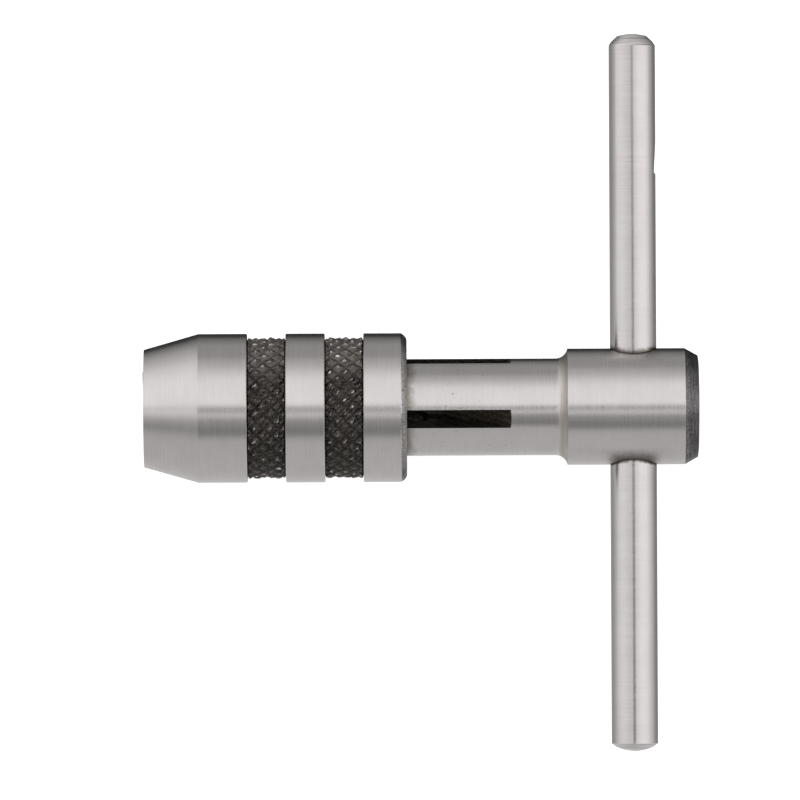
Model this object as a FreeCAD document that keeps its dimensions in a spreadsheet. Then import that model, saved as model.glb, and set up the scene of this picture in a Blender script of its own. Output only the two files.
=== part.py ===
import FreeCAD, Part
import os

import Sketcher

# Tap wrench with a sliding bar, in millimetres.
# +X runs along the spindle from the nose of the chuck to the head, +Y along the
# sliding bar and +Z up, away from the surface that the tool lies on. The origin
# is on the spindle's axis, in the plane of the nose.

doc = FreeCAD.newDocument("tap_wrench")

SIZES = [
    # chuck cap, outside
    ("nose_plane", 0.0),
    ("cap_nose_radius", 6.33),
    ("cap_cone_end", 5.85),
    ("cap_radius", 8.0),
    ("band_radius", 7.26),
    ("front_band_start", 11.1),
    ("front_band_end", 15.24),
    ("rear_band_start", 19.45),
    ("rear_band_end", 23.6),
    ("land_edge_break", 0.08),
    ("cap_round_start", 27.6),
    ("cap_round_radius", 1.2),
    ("cap_rear", 28.25),
    ("cap_rear_radius", 7.33),
    # chuck cap, inside
    ("seat_mouth_radius", 4.03),
    ("seat_end", 3.4),
    ("seat_end_radius", 5.045),
    ("relief_radius", 5.5),
    ("cap_thread_start", 12.0),
    ("cap_thread_radius", 5.06),
    ("cap_thread_end", 23.7),
    ("cap_mouth_radius", 5.3),
    ("ring_groove_start", 26.95),
    ("ring_groove_end", 27.65),
    ("ring_groove_radius", 5.87),
    # spring fingers of the spindle, which are the jaws
    ("tip_radius", 4.0),
    ("tip_lead_radius", 2.9),
    ("tip_lead_end", 0.4),
    ("finger_cone_end", 3.35),
    ("finger_radius", 5.0),
    ("chuck_bore_radius", 2.5),
    ("finger_root", 26.5),
    ("long_tip_plane", -0.15),
    ("long_tip_radius", 3.955),
    ("finger_arc", 90.0),
    # spindle behind the fingers
    ("chuck_bore_end", 30.0),
    ("chuck_bore_point", 31.4),
    ("neck_radius", 5.2),
    ("neck_end", 44.2),
    ("neck_fillet", 1.3),
    ("head_front", 45.5),
    ("head_radius", 6.25),
    ("head_chamfer_start", 58.11),
    ("head_chamfer_end", 59.52),
    ("head_chamfer_end_radius", 5.45),
    ("head_lip_end", 59.6),
    ("head_lip_end_radius", 4.9),
    ("head_rear", 59.65),
    ("head_rear_radius", 3.0),
    # the four slots between the fingers, sawn with a disc cutter
    ("slot_width", 2.0),
    ("slot_count", 4.0),
    ("slot_turn", 14.3),
    ("slot_cut_front", 26.0),
    ("cutter_low_point", 28.3),
    ("cutter_radius", 15.0),
    ("slot_cut_height", 5.5),
    ("slot_cut_rear", 39.72),
    ("slot_clear_front", -1.0),
    ("slot_clear_height", 7.0),
    # sliding bar
    ("bar_station", 52.6),
    ("bar_radius", 2.5),
    ("bar_hole_radius", 2.52),
    ("bar_hole_edge_break", 0.1),
    ("bar_low_end", -37.03),
    ("bar_low_end_radius", 0.4),
    ("bar_low_lip", -36.88),
    ("bar_low_lip_radius", 1.2),
    ("bar_low_mid", -36.6),
    ("bar_low_mid_radius", 1.98),
    ("bar_low_shoulder", -36.2),
    ("bar_high_shoulder", 38.78),
    ("bar_high_mid", 39.2),
    ("bar_high_mid_radius", 2.24),
    ("bar_high_lip", 39.84),
    ("bar_high_lip_radius", 1.56),
    ("bar_high_end", 40.02),
    ("bar_high_end_radius", 0.6),
    ("notch_run_start", 28.5),
    ("notch_floor", 25.15),
    ("notch_step", 24.95),
    ("notch_depth_line", 2.31),
    ("notch_clear_line", 3.0),
    ("notch_width", 5.0),
    # detent that holds the bar, in the head
    ("detent_bore_radius", 1.25),
    ("detent_bore_end", 58.45),
    ("detent_bore_inner", 54.0),
    ("ball_radius", 1.2),
    ("ball_station", 56.32),
    ("detent_coil_radius", 0.92),
    ("detent_wire_radius", 0.13),
    ("detent_coil_start", 57.4),
    ("detent_coil_pitch", 0.34),
    ("detent_coil_height", 0.9),
    ("plug_radius", 1.75),
    ("plug_front", 58.45),
    ("plug_rear", 59.5),
    ("plug_slot_width", 0.5),
    ("plug_slot_floor", 58.95),
    ("plug_slot_open", 59.8),
    ("plug_slot_low", -2.0),
    ("plug_slot_high", 2.0),
    # wire ring in the mouth of the cap
    ("ring_station", 27.3),
    ("ring_mean_radius", 5.51),
    ("ring_wire_radius", 0.3),
    ("ring_sweep", 325.0),
]

sheet = doc.addObject("Spreadsheet::Sheet", "sizes")
size = {}
for row, (alias, value) in enumerate(SIZES, start=1):
    sheet.set("A%d" % row, alias)
    sheet.set("B%d" % row, repr(value))
    sheet.setAlias("B%d" % row, alias)
    size[alias] = value
doc.recompute()

X_DIRECTION = FreeCAD.Vector(1, 0, 0)
Y_DIRECTION = FreeCAD.Vector(0, 1, 0)
parts = []


def amount(name):
    """The number behind a cell's name; the name "axis" stands for nought."""
    return 0.0 if name == "axis" else size[name]


def bind(thing, prop, alias):
    """Tie one property of a feature to a cell of the sheet."""
    thing.setExpression(prop, "sizes." + alias)


def new_body(label):
    body = doc.addObject("PartDesign::Body", label)
    body.Label = label
    parts.append(body)
    return body


def origin_feature(body, role):
    for feature in body.Origin.OriginFeatures:
        if feature.Role == role:
            return feature
    raise ValueError("no origin feature " + role)


def new_sketch(body, name, role="XY_Plane"):
    sketch = body.newObject("Sketcher::SketchObject", body.Label + "_" + name)
    sketch.AttachmentSupport = [(origin_feature(body, role), "")]
    sketch.MapMode = "FlatFace"
    return sketch


def dimension(sketch, kind, side, end, name):
    """Hold one coordinate of a corner at the value of a cell."""
    if name == "axis":
        sketch.addConstraint(Sketcher.Constraint("PointOnObject", side, end, -1))
        return
    rule = Sketcher.Constraint(kind, -1, 1, side, end, amount(name))
    index = sketch.addConstraint(rule)
    bind(sketch, "Constraints[%d]" % index, name)


def arc_between(start, finish, radius, on_left):
    """The short arc from start to finish, and whether it runs that way round."""
    along = finish - start
    middle = start + along * 0.5
    across = FreeCAD.Vector(-along.y, along.x, 0).normalize()
    rise = (radius ** 2 - (along.Length / 2) ** 2) ** 0.5
    centre = middle + across * (rise if on_left else -rise)
    circle = Part.Circle(centre, FreeCAD.Vector(0, 0, 1), radius)
    first, last = (start, finish) if on_left else (finish, start)
    return Part.ArcOfCircle(circle, circle.parameter(first), circle.parameter(last))


def outline(sketch, corners, arcs=None):
    """Draw a closed outline whose corners are named by cells.

    arcs maps the number of a side to its radius cell and to whether its centre
    is on the left of the way from that side's first corner to its second.
    """
    arcs = arcs or {}
    points = [FreeCAD.Vector(amount(along), amount(out), 0) for along, out in corners]
    starts = []
    finishes = []
    for side, start in enumerate(points):
        finish = points[(side + 1) % len(points)]
        on_left = True
        if side in arcs:
            radius_name, on_left = arcs[side]
            sketch.addGeometry(arc_between(start, finish, amount(radius_name), on_left))
        else:
            sketch.addGeometry(Part.LineSegment(start, finish))
        starts.append(1 if on_left else 2)
        finishes.append(2 if on_left else 1)
    for side in range(len(points)):
        after = (side + 1) % len(points)
        sketch.addConstraint(
            Sketcher.Constraint("Coincident", side, finishes[side], after, starts[after])
        )
    for side, (along, out) in enumerate(corners):
        dimension(sketch, "DistanceX", side, starts[side], along)
        dimension(sketch, "DistanceY", side, starts[side], out)
    for side, (radius_name, on_left) in arcs.items():
        rule = Sketcher.Constraint("Radius", side, amount(radius_name))
        bind(sketch, "Constraints[%d]" % sketch.addConstraint(rule), radius_name)


def volume_of(body):
    doc.recompute()
    return body.Shape.Volume


def cut(body, name, kind, sketch):
    """Add a Pocket or Groove and make sure that it has taken something away."""
    before = volume_of(body)
    feature = body.newObject("PartDesign::" + kind, body.Label + "_" + name)
    feature.Profile = sketch
    if kind == "Groove":
        feature.ReferenceAxis = (sketch, ["H_Axis"])
        feature.Angle = 360.0
    else:
        feature.SideType = "Symmetric"
        feature.Type = "Length"
    sketch.Visibility = False
    return feature, before


def must_be_less(body, before):
    if volume_of(body) >= before - 1e-6:
        raise ValueError(body.Label + ": a cut took nothing away")


def turned(body, corners, arcs=None, angle=None):
    """Revolve an outline about the body's X axis."""
    sketch = new_sketch(body, "profile")
    outline(sketch, corners, arcs)
    feature = body.newObject("PartDesign::Revolution", body.Label + "_turned")
    feature.Profile = sketch
    feature.ReferenceAxis = (sketch, ["H_Axis"])
    feature.Angle = 360.0
    if angle:
        bind(feature, "Angle", angle)
        feature.Midplane = True
    return feature


def grooved(body, name, corners):
    """Bore or groove a body about its X axis."""
    sketch = new_sketch(body, name + "_outline")
    outline(sketch, corners)
    _, before = cut(body, name, "Groove", sketch)
    must_be_less(body, before)


def milled(body, name, corners, width, role="XY_Plane", turn=0.0, arcs=None):
    """Mill an outline out of a body, half the width on each side of its plane."""
    sketch = new_sketch(body, name + "_outline", role)
    sketch.AttachmentOffset = FreeCAD.Placement(
        FreeCAD.Vector(), FreeCAD.Rotation(X_DIRECTION, turn)
    )
    outline(sketch, corners, arcs)
    feature, before = cut(body, name, "Pocket", sketch)
    bind(feature, "Length", width)
    must_be_less(body, before)
    return feature


def is_land_edge(edge):
    """Whether an edge of the cap is a land's corner above a knurled band."""
    box = edge.BoundBox
    bands = ("front_band_start", "front_band_end", "rear_band_start", "rear_band_end")
    at_a_band = any(abs(box.Center.x - size[station]) < 0.001 for station in bands)
    return at_a_band and abs(box.YMax - size["cap_radius"]) < 0.001


def is_bar_hole_edge(edge):
    """Whether an edge of the spindle is a mouth of the bar's hole."""
    box = edge.BoundBox
    as_wide_as_the_hole = abs(box.ZLength - 2 * size["bar_hole_radius"]) < 0.01
    return as_wide_as_the_hole and abs(box.Center.y) > size["neck_radius"]


def edges_broken(body, name, alias, is_wanted):
    """Take the sharpness off the edges of a body that is_wanted picks out."""
    before = volume_of(body)
    last_feature = body.Tip
    picked = []
    for number, edge in enumerate(last_feature.Shape.Edges, start=1):
        if is_wanted(edge):
            picked.append("Edge%d" % number)
    feature = body.newObject("PartDesign::Chamfer", body.Label + "_" + name)
    feature.Base = (last_feature, picked)
    bind(feature, "Size", alias)
    must_be_less(body, before)


# ---------------------------------------------------------------- spindle
# Turned from one bar: neck, fillet and head. The fingers in front of
# finger_root are the same piece of steel, and flex there.
spindle = new_body("spindle")
turned(
    spindle,
    [
        ("finger_root", "axis"),
        ("finger_root", "neck_radius"),
        ("neck_end", "neck_radius"),
        ("head_front", "head_radius"),
        ("head_chamfer_start", "head_radius"),
        ("head_chamfer_end", "head_chamfer_end_radius"),
        ("head_lip_end", "head_lip_end_radius"),
        ("head_rear", "head_rear_radius"),
        ("head_rear", "axis"),
    ],
    arcs={2: ("neck_fillet", True)},
)
grooved(
    spindle,
    "chuck_bore",
    [
        ("finger_root", "axis"),
        ("finger_root", "chuck_bore_radius"),
        ("chuck_bore_end", "chuck_bore_radius"),
        ("chuck_bore_point", "axis"),
    ],
)
grooved(
    spindle,
    "detent_bore",
    [
        ("detent_bore_inner", "axis"),
        ("detent_bore_inner", "detent_bore_radius"),
        ("detent_bore_end", "detent_bore_radius"),
        ("detent_bore_end", "plug_radius"),
        ("head_rear", "plug_radius"),
        ("head_rear", "axis"),
    ],
)
slot = milled(
    spindle,
    "slot",
    [
        ("slot_cut_front", "axis"),
        ("cutter_low_point", "axis"),
        ("slot_cut_rear", "slot_cut_height"),
        ("slot_cut_front", "slot_cut_height"),
    ],
    "slot_width",
    turn=size["slot_turn"],
    arcs={1: ("cutter_radius", True)},
)
slots = spindle.newObject("PartDesign::PolarPattern", "spindle_slots")
slots.Originals = [slot]
slots.Axis = (origin_feature(spindle, "X_Axis"), [""])
slots.Angle = 360.0
bind(slots, "Occurrences", "slot_count")
spindle.Tip = slots

hole_sketch = new_sketch(spindle, "bar_hole_outline", "XZ_Plane")
hole_sketch.addGeometry(
    Part.Circle(
        FreeCAD.Vector(size["bar_station"], 0, 0),
        FreeCAD.Vector(0, 0, 1),
        size["bar_hole_radius"],
    )
)
dimension(hole_sketch, "DistanceX", 0, 3, "bar_station")
dimension(hole_sketch, "PointOnObject", 0, 3, "axis")
radius_rule = Sketcher.Constraint("Radius", 0, size["bar_hole_radius"])
bind(hole_sketch, "Constraints[%d]" % hole_sketch.addConstraint(radius_rule), "bar_hole_radius")
bar_hole, solid_before_hole = cut(spindle, "bar_hole", "Pocket", hole_sketch)
bar_hole.setExpression("Length", "4 * sizes.head_radius")
must_be_less(spindle, solid_before_hole)
edges_broken(spindle, "bar_hole_edges", "bar_hole_edge_break", is_bar_hole_edge)

# ---------------------------------------------------------------- fingers
# A quarter of a tube each, with a cone at the tip, less half a slot per side.
# One of them stands a little proud of the nose.
FINGER_COUNT = int(size["slot_count"])
LONG_FINGER = 4
for number in range(1, FINGER_COUNT + 1):
    tip_plane = "nose_plane"
    tip_rim = "tip_radius"
    if number == LONG_FINGER:
        tip_plane = "long_tip_plane"
        tip_rim = "long_tip_radius"
    finger = new_body("jaw_%d" % number)
    turned(
        finger,
        [
            (tip_plane, "tip_lead_radius"),
            (tip_plane, tip_rim),
            ("finger_cone_end", "finger_radius"),
            ("finger_root", "finger_radius"),
            ("finger_root", "chuck_bore_radius"),
            ("tip_lead_end", "chuck_bore_radius"),
        ],
        angle="finger_arc",
    )
    side_cut = milled(
        finger,
        "side",
        [
            ("slot_clear_front", "axis"),
            ("finger_root", "axis"),
            ("finger_root", "slot_clear_height"),
            ("slot_clear_front", "slot_clear_height"),
        ],
        "slot_width",
        turn=size["finger_arc"] / 2,
    )
    other_side = finger.newObject("PartDesign::Mirrored", finger.Label + "_other_side")
    other_side.Originals = [side_cut]
    other_side.MirrorPlane = (origin_feature(finger, "XY_Plane"), [""])
    finger.Tip = other_side
    middle_angle = size["slot_turn"] + (number - 0.5) * 360.0 / FINGER_COUNT
    finger.Placement = FreeCAD.Placement(
        FreeCAD.Vector(), FreeCAD.Rotation(X_DIRECTION, middle_angle)
    )

# ---------------------------------------------------------------- chuck cap
# Outside: nose cone, three ground lands and two lower knurled bands. Inside:
# the closing cone, a relief, the threaded length and the mouth with its groove.
chuck_cap = new_body("chuck_cap")
turned(
    chuck_cap,
    [
        ("nose_plane", "seat_mouth_radius"),
        ("nose_plane", "cap_nose_radius"),
        ("cap_cone_end", "cap_radius"),
        ("front_band_start", "cap_radius"),
        ("front_band_start", "band_radius"),
        ("front_band_end", "band_radius"),
        ("front_band_end", "cap_radius"),
        ("rear_band_start", "cap_radius"),
        ("rear_band_start", "band_radius"),
        ("rear_band_end", "band_radius"),
        ("rear_band_end", "cap_radius"),
        ("cap_round_start", "cap_radius"),
        ("cap_rear", "cap_rear_radius"),
        ("cap_rear", "cap_mouth_radius"),
        ("ring_groove_end", "cap_mouth_radius"),
        ("ring_groove_end", "ring_groove_radius"),
        ("ring_groove_start", "ring_groove_radius"),
        ("ring_groove_start", "cap_mouth_radius"),
        ("cap_thread_end", "cap_mouth_radius"),
        ("cap_thread_end", "cap_thread_radius"),
        ("cap_thread_start", "cap_thread_radius"),
        ("cap_thread_start", "relief_radius"),
        ("seat_end", "relief_radius"),
        ("seat_end", "seat_end_radius"),
    ],
    arcs={11: ("cap_round_radius", False)},
)
edges_broken(chuck_cap, "land_edges", "land_edge_break", is_land_edge)

# ---------------------------------------------------------------- cap ring
# A sprung C of wire that sits in the cap's groove and rubs on the neck.
cap_ring = doc.addObject("Part::Torus", "cap_ring")
cap_ring.Label = "cap_ring"
bind(cap_ring, "Radius1", "ring_mean_radius")
bind(cap_ring, "Radius2", "ring_wire_radius")
bind(cap_ring, "Angle3", "ring_sweep")
cap_ring.Placement = FreeCAD.Placement(
    FreeCAD.Vector(size["ring_station"], 0, 0), FreeCAD.Rotation(Y_DIRECTION, 90)
)
parts.append(cap_ring)

# ---------------------------------------------------------------- sliding bar
# Turned about its own X axis and then stood along Y.
sliding_bar = new_body("sliding_bar")
turned(
    sliding_bar,
    [
        ("bar_low_end", "axis"),
        ("bar_low_end", "bar_low_end_radius"),
        ("bar_low_lip", "bar_low_lip_radius"),
        ("bar_low_mid", "bar_low_mid_radius"),
        ("bar_low_shoulder", "bar_radius"),
        ("bar_high_shoulder", "bar_radius"),
        ("bar_high_mid", "bar_high_mid_radius"),
        ("bar_high_lip", "bar_high_lip_radius"),
        ("bar_high_end", "bar_high_end_radius"),
        ("bar_high_end", "axis"),
    ],
)
milled(
    sliding_bar,
    "notch",
    [
        ("notch_step", "notch_clear_line"),
        ("notch_step", "bar_radius"),
        ("notch_floor", "notch_depth_line"),
        ("notch_run_start", "bar_radius"),
        ("notch_run_start", "notch_clear_line"),
    ],
    "notch_width",
)
sliding_bar.Placement = FreeCAD.Placement(
    FreeCAD.Vector(size["bar_station"], 0, 0),
    FreeCAD.Rotation(Y_DIRECTION, X_DIRECTION, FreeCAD.Vector(0, 0, -1), "XYZ"),
)

# ---------------------------------------------------------------- detent
# Ball, coil spring and slotted plug, one behind the other in the head's bore.
detent_ball = doc.addObject("Part::Sphere", "detent_ball")
detent_ball.Label = "detent_ball"
bind(detent_ball, "Radius", "ball_radius")
detent_ball.Placement = FreeCAD.Placement(
    FreeCAD.Vector(size["ball_station"], 0, 0), FreeCAD.Rotation()
)
parts.append(detent_ball)

coil_path = doc.addObject("Part::Helix", "detent_coil_path")
bind(coil_path, "Radius", "detent_coil_radius")
bind(coil_path, "Pitch", "detent_coil_pitch")
bind(coil_path, "Height", "detent_coil_height")
coil_wire = doc.addObject("Part::Circle", "detent_coil_wire")
bind(coil_wire, "Radius", "detent_wire_radius")
coil_wire.Placement = FreeCAD.Placement(
    FreeCAD.Vector(size["detent_coil_radius"], 0, 0), FreeCAD.Rotation(X_DIRECTION, 90)
)
detent_spring = doc.addObject("Part::Sweep", "detent_spring")
detent_spring.Label = "detent_spring"
detent_spring.Sections = [coil_wire]
detent_spring.Spine = (coil_path, ["Edge1"])
detent_spring.Solid = True
detent_spring.Frenet = True
detent_spring.Placement = FreeCAD.Placement(
    FreeCAD.Vector(size["detent_coil_start"], 0, 0), FreeCAD.Rotation(Y_DIRECTION, 90)
)
parts.append(detent_spring)

detent_plug = new_body("detent_plug")
turned(
    detent_plug,
    [
        ("plug_front", "axis"),
        ("plug_front", "plug_radius"),
        ("plug_rear", "plug_radius"),
        ("plug_rear", "axis"),
    ],
)
milled(
    detent_plug,
    "driver_slot",
    [
        ("plug_slot_floor", "plug_slot_low"),
        ("plug_slot_open", "plug_slot_low"),
        ("plug_slot_open", "plug_slot_high"),
        ("plug_slot_floor", "plug_slot_high"),
    ],
    "plug_slot_width",
)

# ---------------------------------------------------------------- checks and files
doc.recompute()
for thing in doc.Objects:
    if "Invalid" in thing.State or "Error" in thing.State:
        raise ValueError("%s did not build: %s" % (thing.Label, thing.State))
for part in parts:
    if part.Shape.isNull() or not part.Shape.isValid():
        raise ValueError(part.Label + " has no valid shape")

os.makedirs("parts", exist_ok=True)
for part in parts:
    part.Shape.exportStep("parts/" + part.Label + ".step")
    print("%-14s %9.3f mm3" % (part.Label, part.Shape.Volume))
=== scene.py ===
"""Looks of the tap wrench: ground bright steel, black-oxide knurls, and a soft studio around it."""

import math

import bpy
import numpy as np
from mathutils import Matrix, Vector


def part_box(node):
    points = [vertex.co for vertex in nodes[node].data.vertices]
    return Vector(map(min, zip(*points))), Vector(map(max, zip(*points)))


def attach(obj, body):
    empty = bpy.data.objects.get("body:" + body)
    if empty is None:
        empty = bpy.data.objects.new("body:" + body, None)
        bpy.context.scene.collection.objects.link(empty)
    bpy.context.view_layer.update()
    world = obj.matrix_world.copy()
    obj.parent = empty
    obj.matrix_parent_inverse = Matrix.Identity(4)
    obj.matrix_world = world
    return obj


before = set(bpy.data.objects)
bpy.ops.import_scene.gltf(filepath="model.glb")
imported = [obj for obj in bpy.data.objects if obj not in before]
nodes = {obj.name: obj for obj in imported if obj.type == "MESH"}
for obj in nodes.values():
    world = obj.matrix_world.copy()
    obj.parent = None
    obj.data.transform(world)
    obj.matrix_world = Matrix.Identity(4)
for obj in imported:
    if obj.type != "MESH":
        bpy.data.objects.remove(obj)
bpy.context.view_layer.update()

MM = 0.001
low_cap, high_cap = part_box("chuck_cap")
low_bar, high_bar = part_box("sliding_bar")

# Sizes that the finishes and the knurl follow, in millimetres. Stations are
# counted along the spindle from the nose, or along the bar from the spindle.
CAP_RADIUS = high_cap.z / MM
CAP_INSIDE = 6.0  # more than any inner radius of the cap, less than any outer one
FIRST_LAND = 8.0  # a station on the cap's first land, past its nose cone
BANDS = ((11.1, 15.24), (19.45, 23.6))
CAP_ROUNDING = 27.6
NECK_RADIUS = 5.2
NECK_SHADE_AND_PITS_TO = 40.0
FILLET = (44.6, 45.49)
HEAD_RADIUS = 6.25
HEAD_CHAMFER = 58.1
BAR_HOLE_RADIUS = 2.52
BAR_STATION = (low_bar.x + high_bar.x) / 2 / MM
BAR_SHOULDERS = (-36.2, 38.78)


# ------------------------------------------------------------------ shader graphs
class Graph:
    """Short names for the nodes of one material or world."""

    def __init__(self, owner):
        owner.use_nodes = True
        self.tree = owner.node_tree
        self.tree.nodes.clear()

    def plug(self, socket, value):
        if isinstance(value, bpy.types.NodeSocket):
            self.tree.links.new(value, socket)
        elif value is not None:
            socket.default_value = value

    def sums(self, operation, first, second=None, third=None):
        node = self.tree.nodes.new("ShaderNodeMath")
        node.operation = operation
        for socket, value in zip(node.inputs, (first, second, third)):
            self.plug(socket, value)
        return node.outputs[0]

    def step(self, value, low, high, to_low=0.0, to_high=1.0):
        """A smooth step of value from low to high."""
        node = self.tree.nodes.new("ShaderNodeMapRange")
        node.interpolation_type = "SMOOTHSTEP"
        for socket, number in zip(node.inputs, (value, low, high, to_low, to_high)):
            self.plug(socket, number)
        return node.outputs[0]

    def band(self, value, low, high, soft):
        """One between low and high, nought outside, with soft edges."""
        rise = self.step(value, low - soft, low + soft)
        fall = self.step(value, high - soft, high + soft, 1.0, 0.0)
        return self.sums("MULTIPLY", rise, fall)

    def mix(self, factor, first, second):
        """Blend two colours."""
        node = self.tree.nodes.new("ShaderNodeMix")
        node.data_type = "RGBA"
        self.plug(node.inputs[0], factor)
        self.plug(node.inputs[6], first)
        self.plug(node.inputs[7], second)
        return node.outputs[2]

    def blend(self, factor, first, second):
        """Blend two numbers."""
        node = self.tree.nodes.new("ShaderNodeMix")
        node.data_type = "FLOAT"
        self.plug(node.inputs[0], factor)
        self.plug(node.inputs[2], first)
        self.plug(node.inputs[3], second)
        return node.outputs[0]

    def noise(self, vector, scale, detail=2.0, roughness=0.5):
        node = self.tree.nodes.new("ShaderNodeTexNoise")
        self.plug(node.inputs["Vector"], vector)
        node.inputs["Scale"].default_value = scale
        node.inputs["Detail"].default_value = detail
        node.inputs["Roughness"].default_value = roughness
        return node.outputs[0]

    def stretched(self, vector, factors):
        node = self.tree.nodes.new("ShaderNodeVectorMath")
        node.operation = "MULTIPLY"
        self.plug(node.inputs[0], vector)
        node.inputs[1].default_value = factors
        return node.outputs[0]

    def shifted(self, vector, offset):
        """A vector with a number added to its first part."""
        parts = self.tree.nodes.new("ShaderNodeCombineXYZ")
        self.plug(parts.inputs[0], offset)
        node = self.tree.nodes.new("ShaderNodeVectorMath")
        self.plug(node.inputs[0], parts.outputs[0])
        self.plug(node.inputs[1], vector)
        return node.outputs[0]

    def place(self):
        """The position in the part's own frame, in millimetres, and its x, y, z."""
        coordinates = self.tree.nodes.new("ShaderNodeTexCoord").outputs["Object"]
        vector = self.stretched(coordinates, (1000.0, 1000.0, 1000.0))
        parts = self.tree.nodes.new("ShaderNodeSeparateXYZ")
        self.plug(parts.inputs[0], vector)
        return vector, *parts.outputs

    def length(self, first, second):
        squares = self.sums("MULTIPLY_ADD", first, first, self.sums("MULTIPLY", second, second))
        return self.sums("SQRT", squares)

    def bump(self, height, distance):
        node = self.tree.nodes.new("ShaderNodeBump")
        node.inputs["Strength"].default_value = 1.0
        node.inputs["Distance"].default_value = distance
        self.plug(node.inputs["Height"], height)
        return node.outputs[0]

    def surface(self, color, roughness, metallic, normal=None, anisotropic=0.0, axis=None):
        shader = self.tree.nodes.new("ShaderNodeBsdfPrincipled")
        self.plug(shader.inputs["Base Color"], color)
        self.plug(shader.inputs["Roughness"], roughness)
        self.plug(shader.inputs["Metallic"], metallic)
        self.plug(shader.inputs["Normal"], normal)
        if axis:
            shader.inputs["Anisotropic"].default_value = anisotropic
            shader.inputs["Anisotropic Rotation"].default_value = 0.25
            tangent = self.tree.nodes.new("ShaderNodeTangent")
            tangent.direction_type = "RADIAL"
            tangent.axis = axis
            self.plug(shader.inputs["Tangent"], tangent.outputs[0])
        out = self.tree.nodes.new("ShaderNodeOutputMaterial")
        self.tree.links.new(shader.outputs[0], out.inputs[0])


def material(name):
    made = bpy.data.materials.new(name)
    return made, Graph(made)


def gray(value):
    return (value, value, value, 1.0)


# ------------------------------------------------------------------ finishes
BRIGHT_LINE = (0.700, 0.668, 0.662, 1)
BRIGHT = (0.655, 0.624, 0.617, 1)
BRIGHT_PATCH = (0.600, 0.568, 0.556, 1)
OXIDE_DEEP = (0.016, 0.015, 0.013, 1)
OXIDE = (0.042, 0.039, 0.034, 1)
OXIDE_RUBBED = (0.170, 0.164, 0.162, 1)
OXIDE_TURNED = (0.040, 0.038, 0.037, 1)
# Bare steel, for specks and also for the painted highlight on rubbed oxide.
BARE_SPECK_AND_SHEEN = (0.560, 0.545, 0.535, 1)
FILLET_STAIN = (0.520, 0.455, 0.385, 1)
# Painted shade on the neck where it meets the cap.
NECK_SHADE_AT_CAP = (0.270, 0.235, 0.190, 1)
SLOT_BROWN = (0.076, 0.058, 0.042, 1)
SLOT_SCORE = (0.150, 0.135, 0.105, 1)
BAR_END = (0.920, 0.890, 0.880, 1)
BAR_END_LINE = (0.560, 0.540, 0.530, 1)
KNURL_DARK = (0.030, 0.027, 0.024, 1)
KNURL_BROWN = (0.135, 0.119, 0.107, 1)
# Painted light on the knurl's +Y side.
KNURL_LIT_SIDE = (0.270, 0.240, 0.225, 1)
KNURL_WORN = (0.780, 0.745, 0.710, 1)
BROWN = (0.150, 0.115, 0.080, 1)
RUST = (0.070, 0.054, 0.038, 1)
# Painted shade beside the bar's mouths, partly stain.
OLIVE_STAIN_AND_SHADE = (0.080, 0.071, 0.050, 1)
LINES_ROUND_X = (9.0, 0.25, 0.25)
LINES_ROUND_Y = (0.25, 9.0, 0.25)

# Lines each way round the cap, their pitch along it, the radius of the grooves and
# the height of the diamonds above them.
KNURL_LINES = 30
KNURL_AXIAL_PITCH = 1.61
KNURL_FOOT = 7.28
KNURL_DEPTH = 0.36


def ground_finish(g, vector, stretch):
    """Colour, roughness and height of ground steel; stretch sets the way of the lines."""
    fine = g.noise(g.stretched(vector, stretch), 1.0, 3.0, 0.6)
    broad = g.noise(vector, 0.35, 3.0, 0.55)
    lines = g.step(fine, 0.3, 0.7)
    color = g.mix(lines, BRIGHT, BRIGHT_LINE)
    color = g.mix(g.step(broad, 0.35, 0.7, 0.0, 0.35), color, BRIGHT_PATCH)
    roughness = g.blend(lines, 0.24, 0.28)
    return color, roughness, fine


def oxide_finish(g, vector):
    """Colour, roughness and height of black oxide on steel."""
    mottle = g.noise(vector, 3.0, 4.0, 0.6)
    color = g.mix(g.step(mottle, 0.3, 0.7), OXIDE_DEEP, OXIDE)
    roughness = g.step(mottle, 0.2, 0.8, 0.38, 0.55)
    return color, roughness, mottle


def rubbed_oxide(g, vector, x, z, radius, border, top_sheen):
    """Black oxide rubbed down on a turned chamfer or face, lightened on its upper side by a painted
    highlight in patches like wear.

    Bare specks lie along border, a pair of stations. The last argument sets how strong the painted
    highlight on the upper side is.
    """
    slant = g.sums("MULTIPLY", g.sums("SUBTRACT", x, radius), 9.0)
    turned = g.noise(g.shifted(g.stretched(vector, (0.5, 0.5, 0.5)), slant), 1.0, 2.0, 0.6)
    mottle = g.noise(vector, 5.0, 4.0, 0.7)
    color = g.mix(g.step(turned, 0.35, 0.62), OXIDE_TURNED, OXIDE_RUBBED)
    # Painted highlight: the upper side lighter, in patches.
    wear_and_sheen = g.sums("MULTIPLY", g.step(z, 3.0, 7.0), g.step(mottle, 0.4, 0.7, top_sheen, 0.0))
    color = g.mix(wear_and_sheen, color, BARE_SPECK_AND_SHEEN)
    specks = g.step(g.noise(vector, 7.0, 2.0), 0.58, 0.66)
    color = g.mix(g.sums("MULTIPLY", specks, g.band(x, *border, 0.08)), color, BARE_SPECK_AND_SHEEN)
    return color


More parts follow.
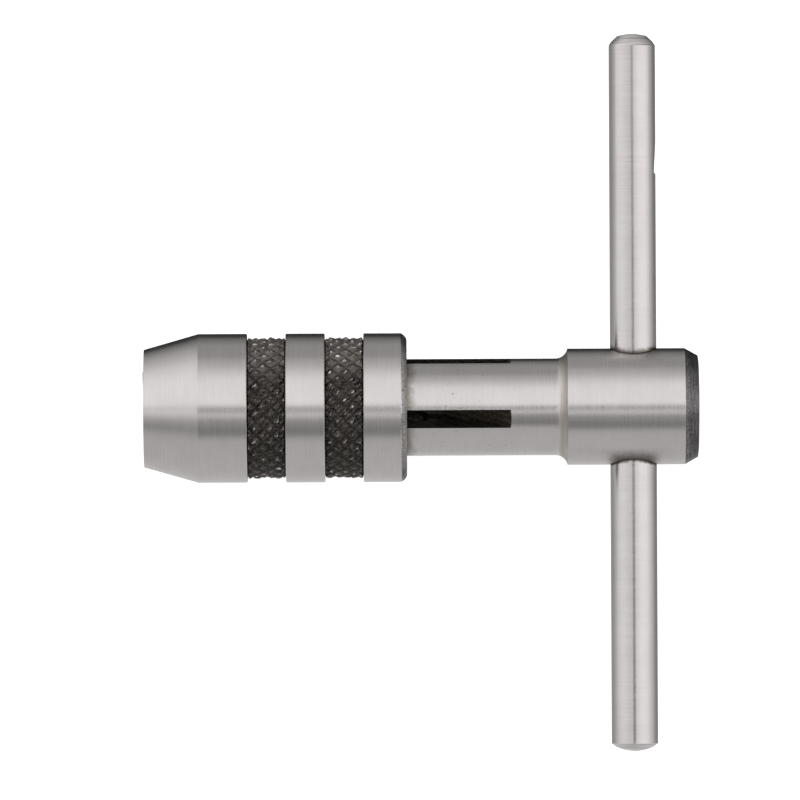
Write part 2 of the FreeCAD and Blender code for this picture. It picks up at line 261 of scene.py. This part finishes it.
def cap_steel():
    made, g = material("cap_steel")
    vector, x, y, z = g.place()
    radius = g.length(y, z)
    color, roughness, fine = ground_finish(g, vector, LINES_ROUND_X)
    dark, dark_roughness, _ = oxide_finish(g, vector)
    below_lands = g.sums("LESS_THAN", radius, CAP_RADIUS - 0.1)
    past_nose = g.sums("GREATER_THAN", x, FIRST_LAND)
    inside = g.sums("LESS_THAN", radius, CAP_INSIDE)
    dark_mask = g.sums("MAXIMUM", g.sums("MULTIPLY", below_lands, past_nose), inside)
    color = g.mix(dark_mask, color, dark)
    # The rear rounding: oxide rubbed down with bare specks, and a strong painted highlight on its
    # upper side.
    rear = g.step(x, CAP_ROUNDING + 0.02, CAP_ROUNDING + 0.12)
    border = (CAP_ROUNDING + 0.06, CAP_ROUNDING + 0.18)
    color = g.mix(rear, color, rubbed_oxide(g, vector, x, z, radius, border, 0.9))
    roughness = g.blend(dark_mask, roughness, dark_roughness)
    g.surface(color, roughness, g.blend(dark_mask, 1.0, 0.8), g.bump(fine, 0.002 * MM), 0.6, "X")
    return made


def spindle_steel():
    made, g = material("spindle_steel")
    vector, x, y, z = g.place()
    radius = g.length(y, z)
    color, roughness, fine = ground_finish(g, vector, LINES_ROUND_X)

    # Tool marks and a brown stain in the fillet.
    marks = g.noise(g.stretched(vector, (14.0, 0.3, 0.3)), 1.0, 2.0)
    start, end = FILLET
    where = g.band(x, start + 0.15, end - 0.03, 0.12)
    stain = g.sums("MULTIPLY", where, g.step(marks, 0.3, 0.7, 0.2, 0.8))
    color = g.mix(stain, color, FILLET_STAIN)
    fillet = g.band(x, start, end, 0.08)
    roughness = g.blend(fillet, roughness, g.step(marks, 0.3, 0.7, 0.40, 0.60))

    # Painted shade on the neck against the cap, standing for the cap's shade and dark reflection,
    # with a few pits.
    edge = g.noise(vector, 1.2, 3.0)
    from_cap = g.sums("SUBTRACT", x, CAP_ROUNDING)
    # Painted shade: darker towards the cap, with a ragged edge.
    shade_at_cap = g.step(g.sums("MULTIPLY_ADD", edge, -1.6, from_cap), -0.2, 1.0, 0.8, 0.0)
    on_neck = g.sums("LESS_THAN", x, NECK_SHADE_AND_PITS_TO)
    color = g.mix(g.sums("MULTIPLY", shade_at_cap, on_neck), color, NECK_SHADE_AT_CAP)
    pits = g.step(g.noise(vector, 4.5, 2.0), 0.70, 0.74)
    pitted = g.sums("MULTIPLY", pits, g.band(x, CAP_ROUNDING - 0.6, NECK_SHADE_AND_PITS_TO, 3.0))
    color = g.mix(pitted, color, BROWN)

    # Rust in the mouths of the bar's hole, and a greenish-brown painted shade on the head beside
    # them.
    outside = g.sums("GREATER_THAN", radius, NECK_RADIUS + 0.1)
    ragged = g.noise(vector, 2.6, 3.0, 0.7)
    above_bar = g.band(x, BAR_STATION - 2.4, BAR_STATION + 2.4, 0.9)
    from_low = g.sums("ADD", g.sums("ADD", ragged, y), HEAD_RADIUS)
    from_high = g.sums("SUBTRACT", g.sums("SUBTRACT", y, ragged), HEAD_RADIUS)
    low_side = g.step(from_low, 0.85, 2.15, 0.85, 0.0)
    high_side = g.step(from_high, -1.55, -0.85, 0.0, 0.55)
    # Painted shade on the head on both sides of the bar.
    shade_beside_bar = g.sums("MULTIPLY", above_bar, g.sums("ADD", low_side, high_side))
    color = g.mix(g.sums("MULTIPLY", shade_beside_bar, outside), color, OLIVE_STAIN_AND_SHADE)
    from_bar = g.length(g.sums("SUBTRACT", x, BAR_STATION), z)
    from_edge = g.sums("MULTIPLY_ADD", ragged, -0.7, from_bar)
    rim = g.step(from_edge, BAR_HOLE_RADIUS - 0.30, BAR_HOLE_RADIUS, 0.95, 0.0)
    color = g.mix(g.sums("MULTIPLY", rim, outside), color, RUST)

    # Oxide in the slots and bores, and rubbed down on the rear chamfer, with a faint painted
    # highlight on its upper side.
    dark, dark_roughness, _ = oxide_finish(g, vector)
    across_cut = g.sums("MULTIPLY_ADD", y, 10.0, g.sums("MULTIPLY", ragged, 14.0))
    sawn = g.sums("SINE", g.sums("MULTIPLY_ADD", x, 3.3, across_cut))
    dark = g.mix(0.5, dark, SLOT_BROWN)
    dark = g.mix(g.step(sawn, 0.3, 1.0, 0.0, 0.6), dark, SLOT_SCORE)
    in_slots = g.sums("LESS_THAN", radius, NECK_RADIUS - 0.03)
    color = g.mix(in_slots, color, dark)
    rear = g.step(x, HEAD_CHAMFER - 0.01, HEAD_CHAMFER + 0.07)
    border = (HEAD_CHAMFER + 0.10, HEAD_CHAMFER + 0.45)
    color = g.mix(rear, color, rubbed_oxide(g, vector, x, z, radius, border, 0.35))
    dark_mask = g.sums("MAXIMUM", in_slots, rear)
    roughness = g.blend(dark_mask, roughness, dark_roughness)
    g.surface(color, roughness, g.blend(in_slots, 1.0, 0.8), g.bump(fine, 0.002 * MM), 0.6, "X")
    return made


def bar_steel():
    made, g = material("bar_steel")
    vector, x, y, z = g.place()
    color, _, fine = ground_finish(g, vector, LINES_ROUND_Y)

    # Where the bar enters the head: a brown rust line all round, and on the high side a
    # greenish-brown band that is painted shade with some stain, so the mark is wider there.
    edge = g.noise(vector, 2.2, 3.0)
    from_head = g.sums("SUBTRACT", g.length(y, z), HEAD_RADIUS)
    on_high_side = g.step(y, -1.0, 1.0)
    at_mouth = g.step(from_head, -0.45, -0.20)
    # Painted shade, with some stain, on the high side at the mouth.
    olive_stain_and_shade = g.step(g.sums("MULTIPLY_ADD", edge, -0.5, from_head), -0.15, 0.35, 0.65, 0.0)
    olive_stain_and_shade = g.sums("MULTIPLY", olive_stain_and_shade, g.sums("MULTIPLY", at_mouth, on_high_side))
    color = g.mix(olive_stain_and_shade, color, OLIVE_STAIN_AND_SHADE)
    rust = g.step(g.sums("MULTIPLY_ADD", edge, -0.35, from_head), -0.13, 0.11, 0.9, 0.0)
    rust = g.sums("MULTIPLY", rust, g.sums("MULTIPLY_ADD", on_high_side, -0.35, 1.0))
    color = g.mix(g.sums("MULTIPLY", rust, at_mouth), color, RUST)

    # Lathe lines on the chamfered ends.
    low_end, high_end = BAR_SHOULDERS
    past_high = g.step(y, high_end - 0.03, high_end + 0.02)
    past_low = g.step(y, low_end - 0.03, low_end + 0.02, 1.0, 0.0)
    ends = g.sums("MAXIMUM", past_high, past_low)
    turned = g.step(g.noise(g.stretched(vector, (0.3, 10.0, 0.3)), 1.0, 2.0), 0.35, 0.65)
    color = g.mix(ends, color, g.mix(turned, BAR_END, BAR_END_LINE))
    roughness = g.blend(ends, g.step(fine, 0.3, 0.7, 0.18, 0.21), 0.5)
    g.surface(color, roughness, 1.0, g.bump(fine, 0.002 * MM), 0.4, "Y")
    return made


def black_oxide():
    made, g = material("black_oxide")
    vector, *_ = g.place()
    color, roughness, mottle = oxide_finish(g, vector)
    g.surface(color, roughness, 0.8, g.bump(mottle, 0.01 * MM))
    return made


def knurl_oxide():
    """Black in the grooves, darker still at their bottoms by painted shade, rubbed to brown and to
    uncovered steel on the points of the diamonds, and lighter on the +Y side by painted light.
    """
    made, g = material("knurl_oxide")
    vector, x, y, z = g.place()
    radius = g.length(y, z)
    mottle = g.noise(vector, 4.0, 4.0, 0.65)
    color = g.mix(g.step(mottle, 0.35, 0.65), KNURL_DARK, KNURL_BROWN)
    # Darker at the groove bottoms: the oxide there, deepened by painted shade.
    groove_oxide_and_shade = g.step(radius, KNURL_FOOT, KNURL_FOOT + 0.14, 0.6, 0.0)
    color = g.mix(groove_oxide_and_shade, color, OXIDE_DEEP)
    # Painted light: the +Y side, towards the main light, lighter.
    lit_side = g.step(g.sums("MULTIPLY_ADD", g.noise(vector, 0.8, 2.0), 3.0, y), 4.0, 7.5, 0.0, 0.5)
    color = g.mix(lit_side, color, KNURL_LIT_SIDE)
    patchy = g.noise(vector, 1.3, 3.0)
    on_top = g.step(radius, KNURL_FOOT + 0.18, KNURL_FOOT + 0.26)
    wear_and_sheen = g.sums("MULTIPLY", on_top, g.step(patchy, 0.38, 0.60))
    color = g.mix(wear_and_sheen, color, KNURL_WORN)
    roughness = g.step(mottle, 0.2, 0.8, 0.18, 0.36)
    g.surface(color, roughness, 0.95, g.bump(mottle, 0.05 * MM))
    return made


def wire_steel():
    made, g = material("wire_steel")
    vector, *_ = g.place()
    grain = g.noise(vector, 8.0, 3.0)
    color = g.mix(g.step(grain, 0.3, 0.7), gray(0.40), gray(0.48))
    g.surface(color, g.step(grain, 0.2, 0.8, 0.25, 0.4), 1.0)
    return made


def ball_steel():
    made, g = material("ball_steel")
    vector, *_ = g.place()
    grain = g.noise(vector, 2.0, 2.0)
    color = g.mix(g.step(grain, 0.3, 0.7), gray(0.68), gray(0.72))
    g.surface(color, g.step(grain, 0.2, 0.8, 0.08, 0.14), 1.0)
    return made


def paint(piece, finish):
    piece.data.materials.clear()
    piece.data.materials.append(finish)


oxide = black_oxide()
wire = wire_steel()
paint(nodes["chuck_cap"], cap_steel())
paint(nodes["spindle"], spindle_steel())
paint(nodes["sliding_bar"], bar_steel())
paint(nodes["cap_ring"], wire)
paint(nodes["detent_spring"], wire)
paint(nodes["detent_ball"], ball_steel())
paint(nodes["detent_plug"], oxide)
for number in range(1, 5):
    paint(nodes["jaw_%d" % number], oxide)


# ------------------------------------------------------------------ knurl
KNURL_SAMPLES = 14  # steps across a diamond
END_GAP = 0.02
WALL_DEPTH = 0.01


def triangle_wave(value):
    """Nought at each whole number and one half way between."""
    return 1.0 - np.abs(2.0 * (value - np.floor(value)) - 1.0)


def lumps(turn, along, draw, waves):
    """Gentle random lumps that close round the cap, about -1 to 1."""
    total = np.zeros_like(turn)
    for _ in range(waves):
        round_the_cap = draw.integers(8, 60)
        per_millimetre = draw.uniform(0.2, 1.3)
        phase = draw.uniform(0.0, 1.0)
        total += np.sin(2 * math.pi * (round_the_cap * turn + per_millimetre * along + phase))
    return total / math.sqrt(waves)


def knurl_height(turn, along, seed, draw):
    """Height of the diamonds: 0 in the grooves, 1 on the points, and double-struck in places."""
    wander = 0.06 * lumps(turn, along, draw, 6)
    one_way = triangle_wave(KNURL_LINES * turn + along / KNURL_AXIAL_PITCH + wander)
    other_way = triangle_wave(KNURL_LINES * turn - along / KNURL_AXIAL_PITCH - wander)
    second_strike = triangle_wave(KNURL_LINES * turn + along / KNURL_AXIAL_PITCH + 0.42)
    doubled = np.clip(1.8 * np.sin(2 * math.pi * (turn - 0.02 * seed)) - 0.5, 0.0, 1.0)
    shallow = 1.0 - 0.6 * doubled * np.clip(1.0 - 2.2 * second_strike, 0.0, 1.0)
    struck = 0.86 + 0.16 * lumps(turn, along, draw, 9)
    return np.minimum(one_way, other_way) * shallow * struck


def knurled_band(name, start, end, seed, finish):
    """A closed sleeve of diamonds over the band's floor."""
    draw = np.random.default_rng(seed)
    first, last = start + END_GAP, end - END_GAP
    rows = int(round((last - first) / (KNURL_AXIAL_PITCH / KNURL_SAMPLES)))
    around = KNURL_LINES * KNURL_SAMPLES
    turn = np.arange(around) / around
    along = first + np.arange(rows + 1) * (last - first) / rows
    turns, alongs = np.meshgrid(turn, along)
    height = knurl_height(turns, alongs, seed, draw)
    height = np.clip(height * draw.normal(1.0, 0.12, height.shape), 0.0, 0.98)
    radius = KNURL_FOOT + KNURL_DEPTH * height
    radius[0] = radius[-1] = KNURL_FOOT

    # An inner wall, a hair above the band's floor, closes the sleeve.
    wall = np.full((2, around), KNURL_FOOT - WALL_DEPTH)
    radius = np.vstack([radius, wall])
    height = np.vstack([height, 0 * wall])
    alongs = np.vstack([alongs, alongs[-1:], alongs[:1]])
    angle = 2 * math.pi * np.vstack([turns, turns[:2]])
    points = np.stack([alongs, radius * np.cos(angle), radius * np.sin(angle)], axis=-1) * MM

    # Each little square is split along its lower diagonal, so that ridges stay sharp.
    faces = []
    for row in range(len(radius)):
        next_row = (row + 1) % len(radius)
        for column in range(around):
            after = (column + 1) % around
            a, b = row * around + column, row * around + after
            c, d = next_row * around + column, next_row * around + after
            one_diagonal = height[row, column] + height[next_row, after]
            other_diagonal = height[row, after] + height[next_row, column]
            if one_diagonal > other_diagonal:
                faces += [(a, b, d), (a, d, c)]
            else:
                faces += [(a, b, c), (b, d, c)]
    mesh = bpy.data.meshes.new(name)
    mesh.from_pydata(points.reshape(-1, 3).tolist(), [], faces)
    mesh.update()
    piece = bpy.data.objects.new(name, mesh)
    bpy.context.scene.collection.objects.link(piece)
    paint(piece, finish)
    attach(piece, "chuck_cap")


knurl_finish = knurl_oxide()
for number, (start, end) in enumerate(BANDS, start=1):
    knurled_band("knurl_band_%d" % number, start, end, number, knurl_finish)


# ------------------------------------------------------------------ floor
FLOOR_HALF = 4.0


def floor_material():
    made, g = material("pale_floor")
    shader = g.tree.nodes.new("ShaderNodeBsdfPrincipled")
    shader.inputs["Base Color"].default_value = (0.9, 0.9, 0.9, 1)
    shader.inputs["Roughness"].default_value = 0.9
    shader.inputs["Emission Color"].default_value = (1, 1, 1, 1)
    shader.inputs["Emission Strength"].default_value = 0.75
    out = g.tree.nodes.new("ShaderNodeOutputMaterial")
    g.tree.links.new(shader.outputs[0], out.inputs[0])
    return made


def pale_floor(height):
    mesh = bpy.data.meshes.new("floor")
    corners = [(-FLOOR_HALF, -FLOOR_HALF), (FLOOR_HALF, -FLOOR_HALF)]
    corners += [(FLOOR_HALF, FLOOR_HALF), (-FLOOR_HALF, FLOOR_HALF)]
    mesh.from_pydata([(x, y, height) for x, y in corners], [], [(0, 1, 2, 3)])
    floor = bpy.data.objects.new("floor", mesh)
    bpy.context.scene.collection.objects.link(floor)
    paint(floor, floor_material())
    floor.visible_glossy = False


pale_floor(low_cap.z)


# ------------------------------------------------------------------ light
# Radiance of the soft surround by the angle from straight up, in degrees:
# first towards +Y, then towards +X. Big soft boxes with darker gaps between.
ACROSS_SPINDLE = (
    (-180, 0.62), (-150, 0.64), (-125, 0.58), (-80, 0.56), (-52, 0.53), (-46, 0.42),
    (-41, 0.23), (-31, 0.24), (-27, 0.33), (-19, 0.30), (-14, 0.60), (-10, 0.86),
    (-6, 1.08), (0, 1.15), (6, 1.08), (15, 1.04), (30, 1.02), (45, 0.98), (60, 0.74),
    (70, 0.56), (80, 0.50), (86, 0.36), (95, 0.36), (115, 0.36), (126, 0.27), (138, 0.17),
    (146, 0.04), (180, 0.04),
)
ACROSS_BAR = (
    (-180, 0.35), (-150, 0.40), (-137, 0.33), (-125, 0.40), (-110, 0.58), (-95, 0.80),
    (-80, 0.98), (-60, 1.00), (-45, 0.90), (-30, 0.76), (-15, 0.60), (0, 0.62), (12, 0.82),
    (22, 1.00), (35, 1.18), (65, 1.24), (80, 1.04), (95, 0.80), (110, 0.55), (125, 0.28),
    (150, 0.22), (180, 0.40),
)
# What the nose cone sees, as across the spindle but from further forward.
ACROSS_NOSE = (
    (-180, 0.62), (-125, 0.58), (-60, 0.54), (-48, 0.46), (-38, 0.30), (-22, 0.46),
    (-8, 0.90), (5, 1.06), (60, 1.04), (80, 0.92), (100, 0.72), (115, 0.56), (128, 0.36),
    (140, 0.14), (150, 0.04), (180, 0.04),
)


def ramp(g, angle, stops):
    """Radiance from a list of angles and values."""
    share = g.sums("MULTIPLY_ADD", angle, 1 / (2 * math.pi), 0.5)
    node = g.tree.nodes.new("ShaderNodeValToRGB")
    node.color_ramp.interpolation = "LINEAR"
    elements = node.color_ramp.elements
    while len(elements) < len(stops):
        elements.new(0.5)
    for element, (degrees, value) in zip(elements, stops):
        element.position = degrees / 360.0 + 0.5
        element.color = gray(value)
    g.plug(node.inputs[0], share)
    return node.outputs[0]


def soft_studio():
    world = bpy.data.worlds.new("soft_studio")
    bpy.context.scene.world = world
    g = Graph(world)
    direction = g.tree.nodes.new("ShaderNodeTexCoord").outputs["Generated"]
    parts = g.tree.nodes.new("ShaderNodeSeparateXYZ")
    g.plug(parts.inputs[0], direction)
    x, y, z = parts.outputs
    towards_y = ramp(g, g.sums("ARCTAN2", y, z), ACROSS_SPINDLE)
    towards_x = ramp(g, g.sums("ARCTAN2", x, z), ACROSS_BAR)
    towards_nose = ramp(g, g.sums("ARCTAN2", y, z), ACROSS_NOSE)
    round_spindle = g.mix(g.step(x, -0.45, -0.2, 1.0, 0.0), towards_y, towards_nose)
    strip = g.step(g.sums("ABSOLUTE", y), 0.02, 0.11, 1.0, 0.0)
    color = g.mix(strip, round_spindle, towards_x)

    # A small dark gap straight up, between the boxes.
    gap = g.sums("MULTIPLY", g.band(x, -0.13, 0.07, 0.03), g.band(y, -0.14, 0.03, 0.03))
    overhead = g.sums("MULTIPLY", gap, g.sums("GREATER_THAN", z, 0.0))
    color = g.mix(overhead, color, gray(0.0))
    background = g.tree.nodes.new("ShaderNodeBackground")
    g.plug(background.inputs[0], color)
    background.inputs[1].default_value = 1.0
    out = g.tree.nodes.new("ShaderNodeOutputWorld")
    g.tree.links.new(background.outputs[0], out.inputs[0])


soft_studio()


# ------------------------------------------------------------------ camera
CAMERA_DISTANCE = 1500.0
VIEW_CENTRE = (27.516, 0.81)
VIEW_WIDTH = 86.0
CAMERA_ROLL = 0.27


def camera():
    data = bpy.data.cameras.new("camera")
    data.sensor_width = 36.0
    data.lens = data.sensor_width * CAMERA_DISTANCE / VIEW_WIDTH
    data.clip_start = 0.01
    data.clip_end = 50.0
    eye = bpy.data.objects.new("camera", data)
    bpy.context.scene.collection.objects.link(eye)
    eye.location = (VIEW_CENTRE[0] * MM, VIEW_CENTRE[1] * MM, CAMERA_DISTANCE * MM)
    eye.rotation_euler = (0, 0, math.radians(-CAMERA_ROLL))
    bpy.context.scene.camera = eye


camera()
bpy.context.scene.view_settings.view_transform = "Standard"
bpy.context.scene.view_settings.look = "None"
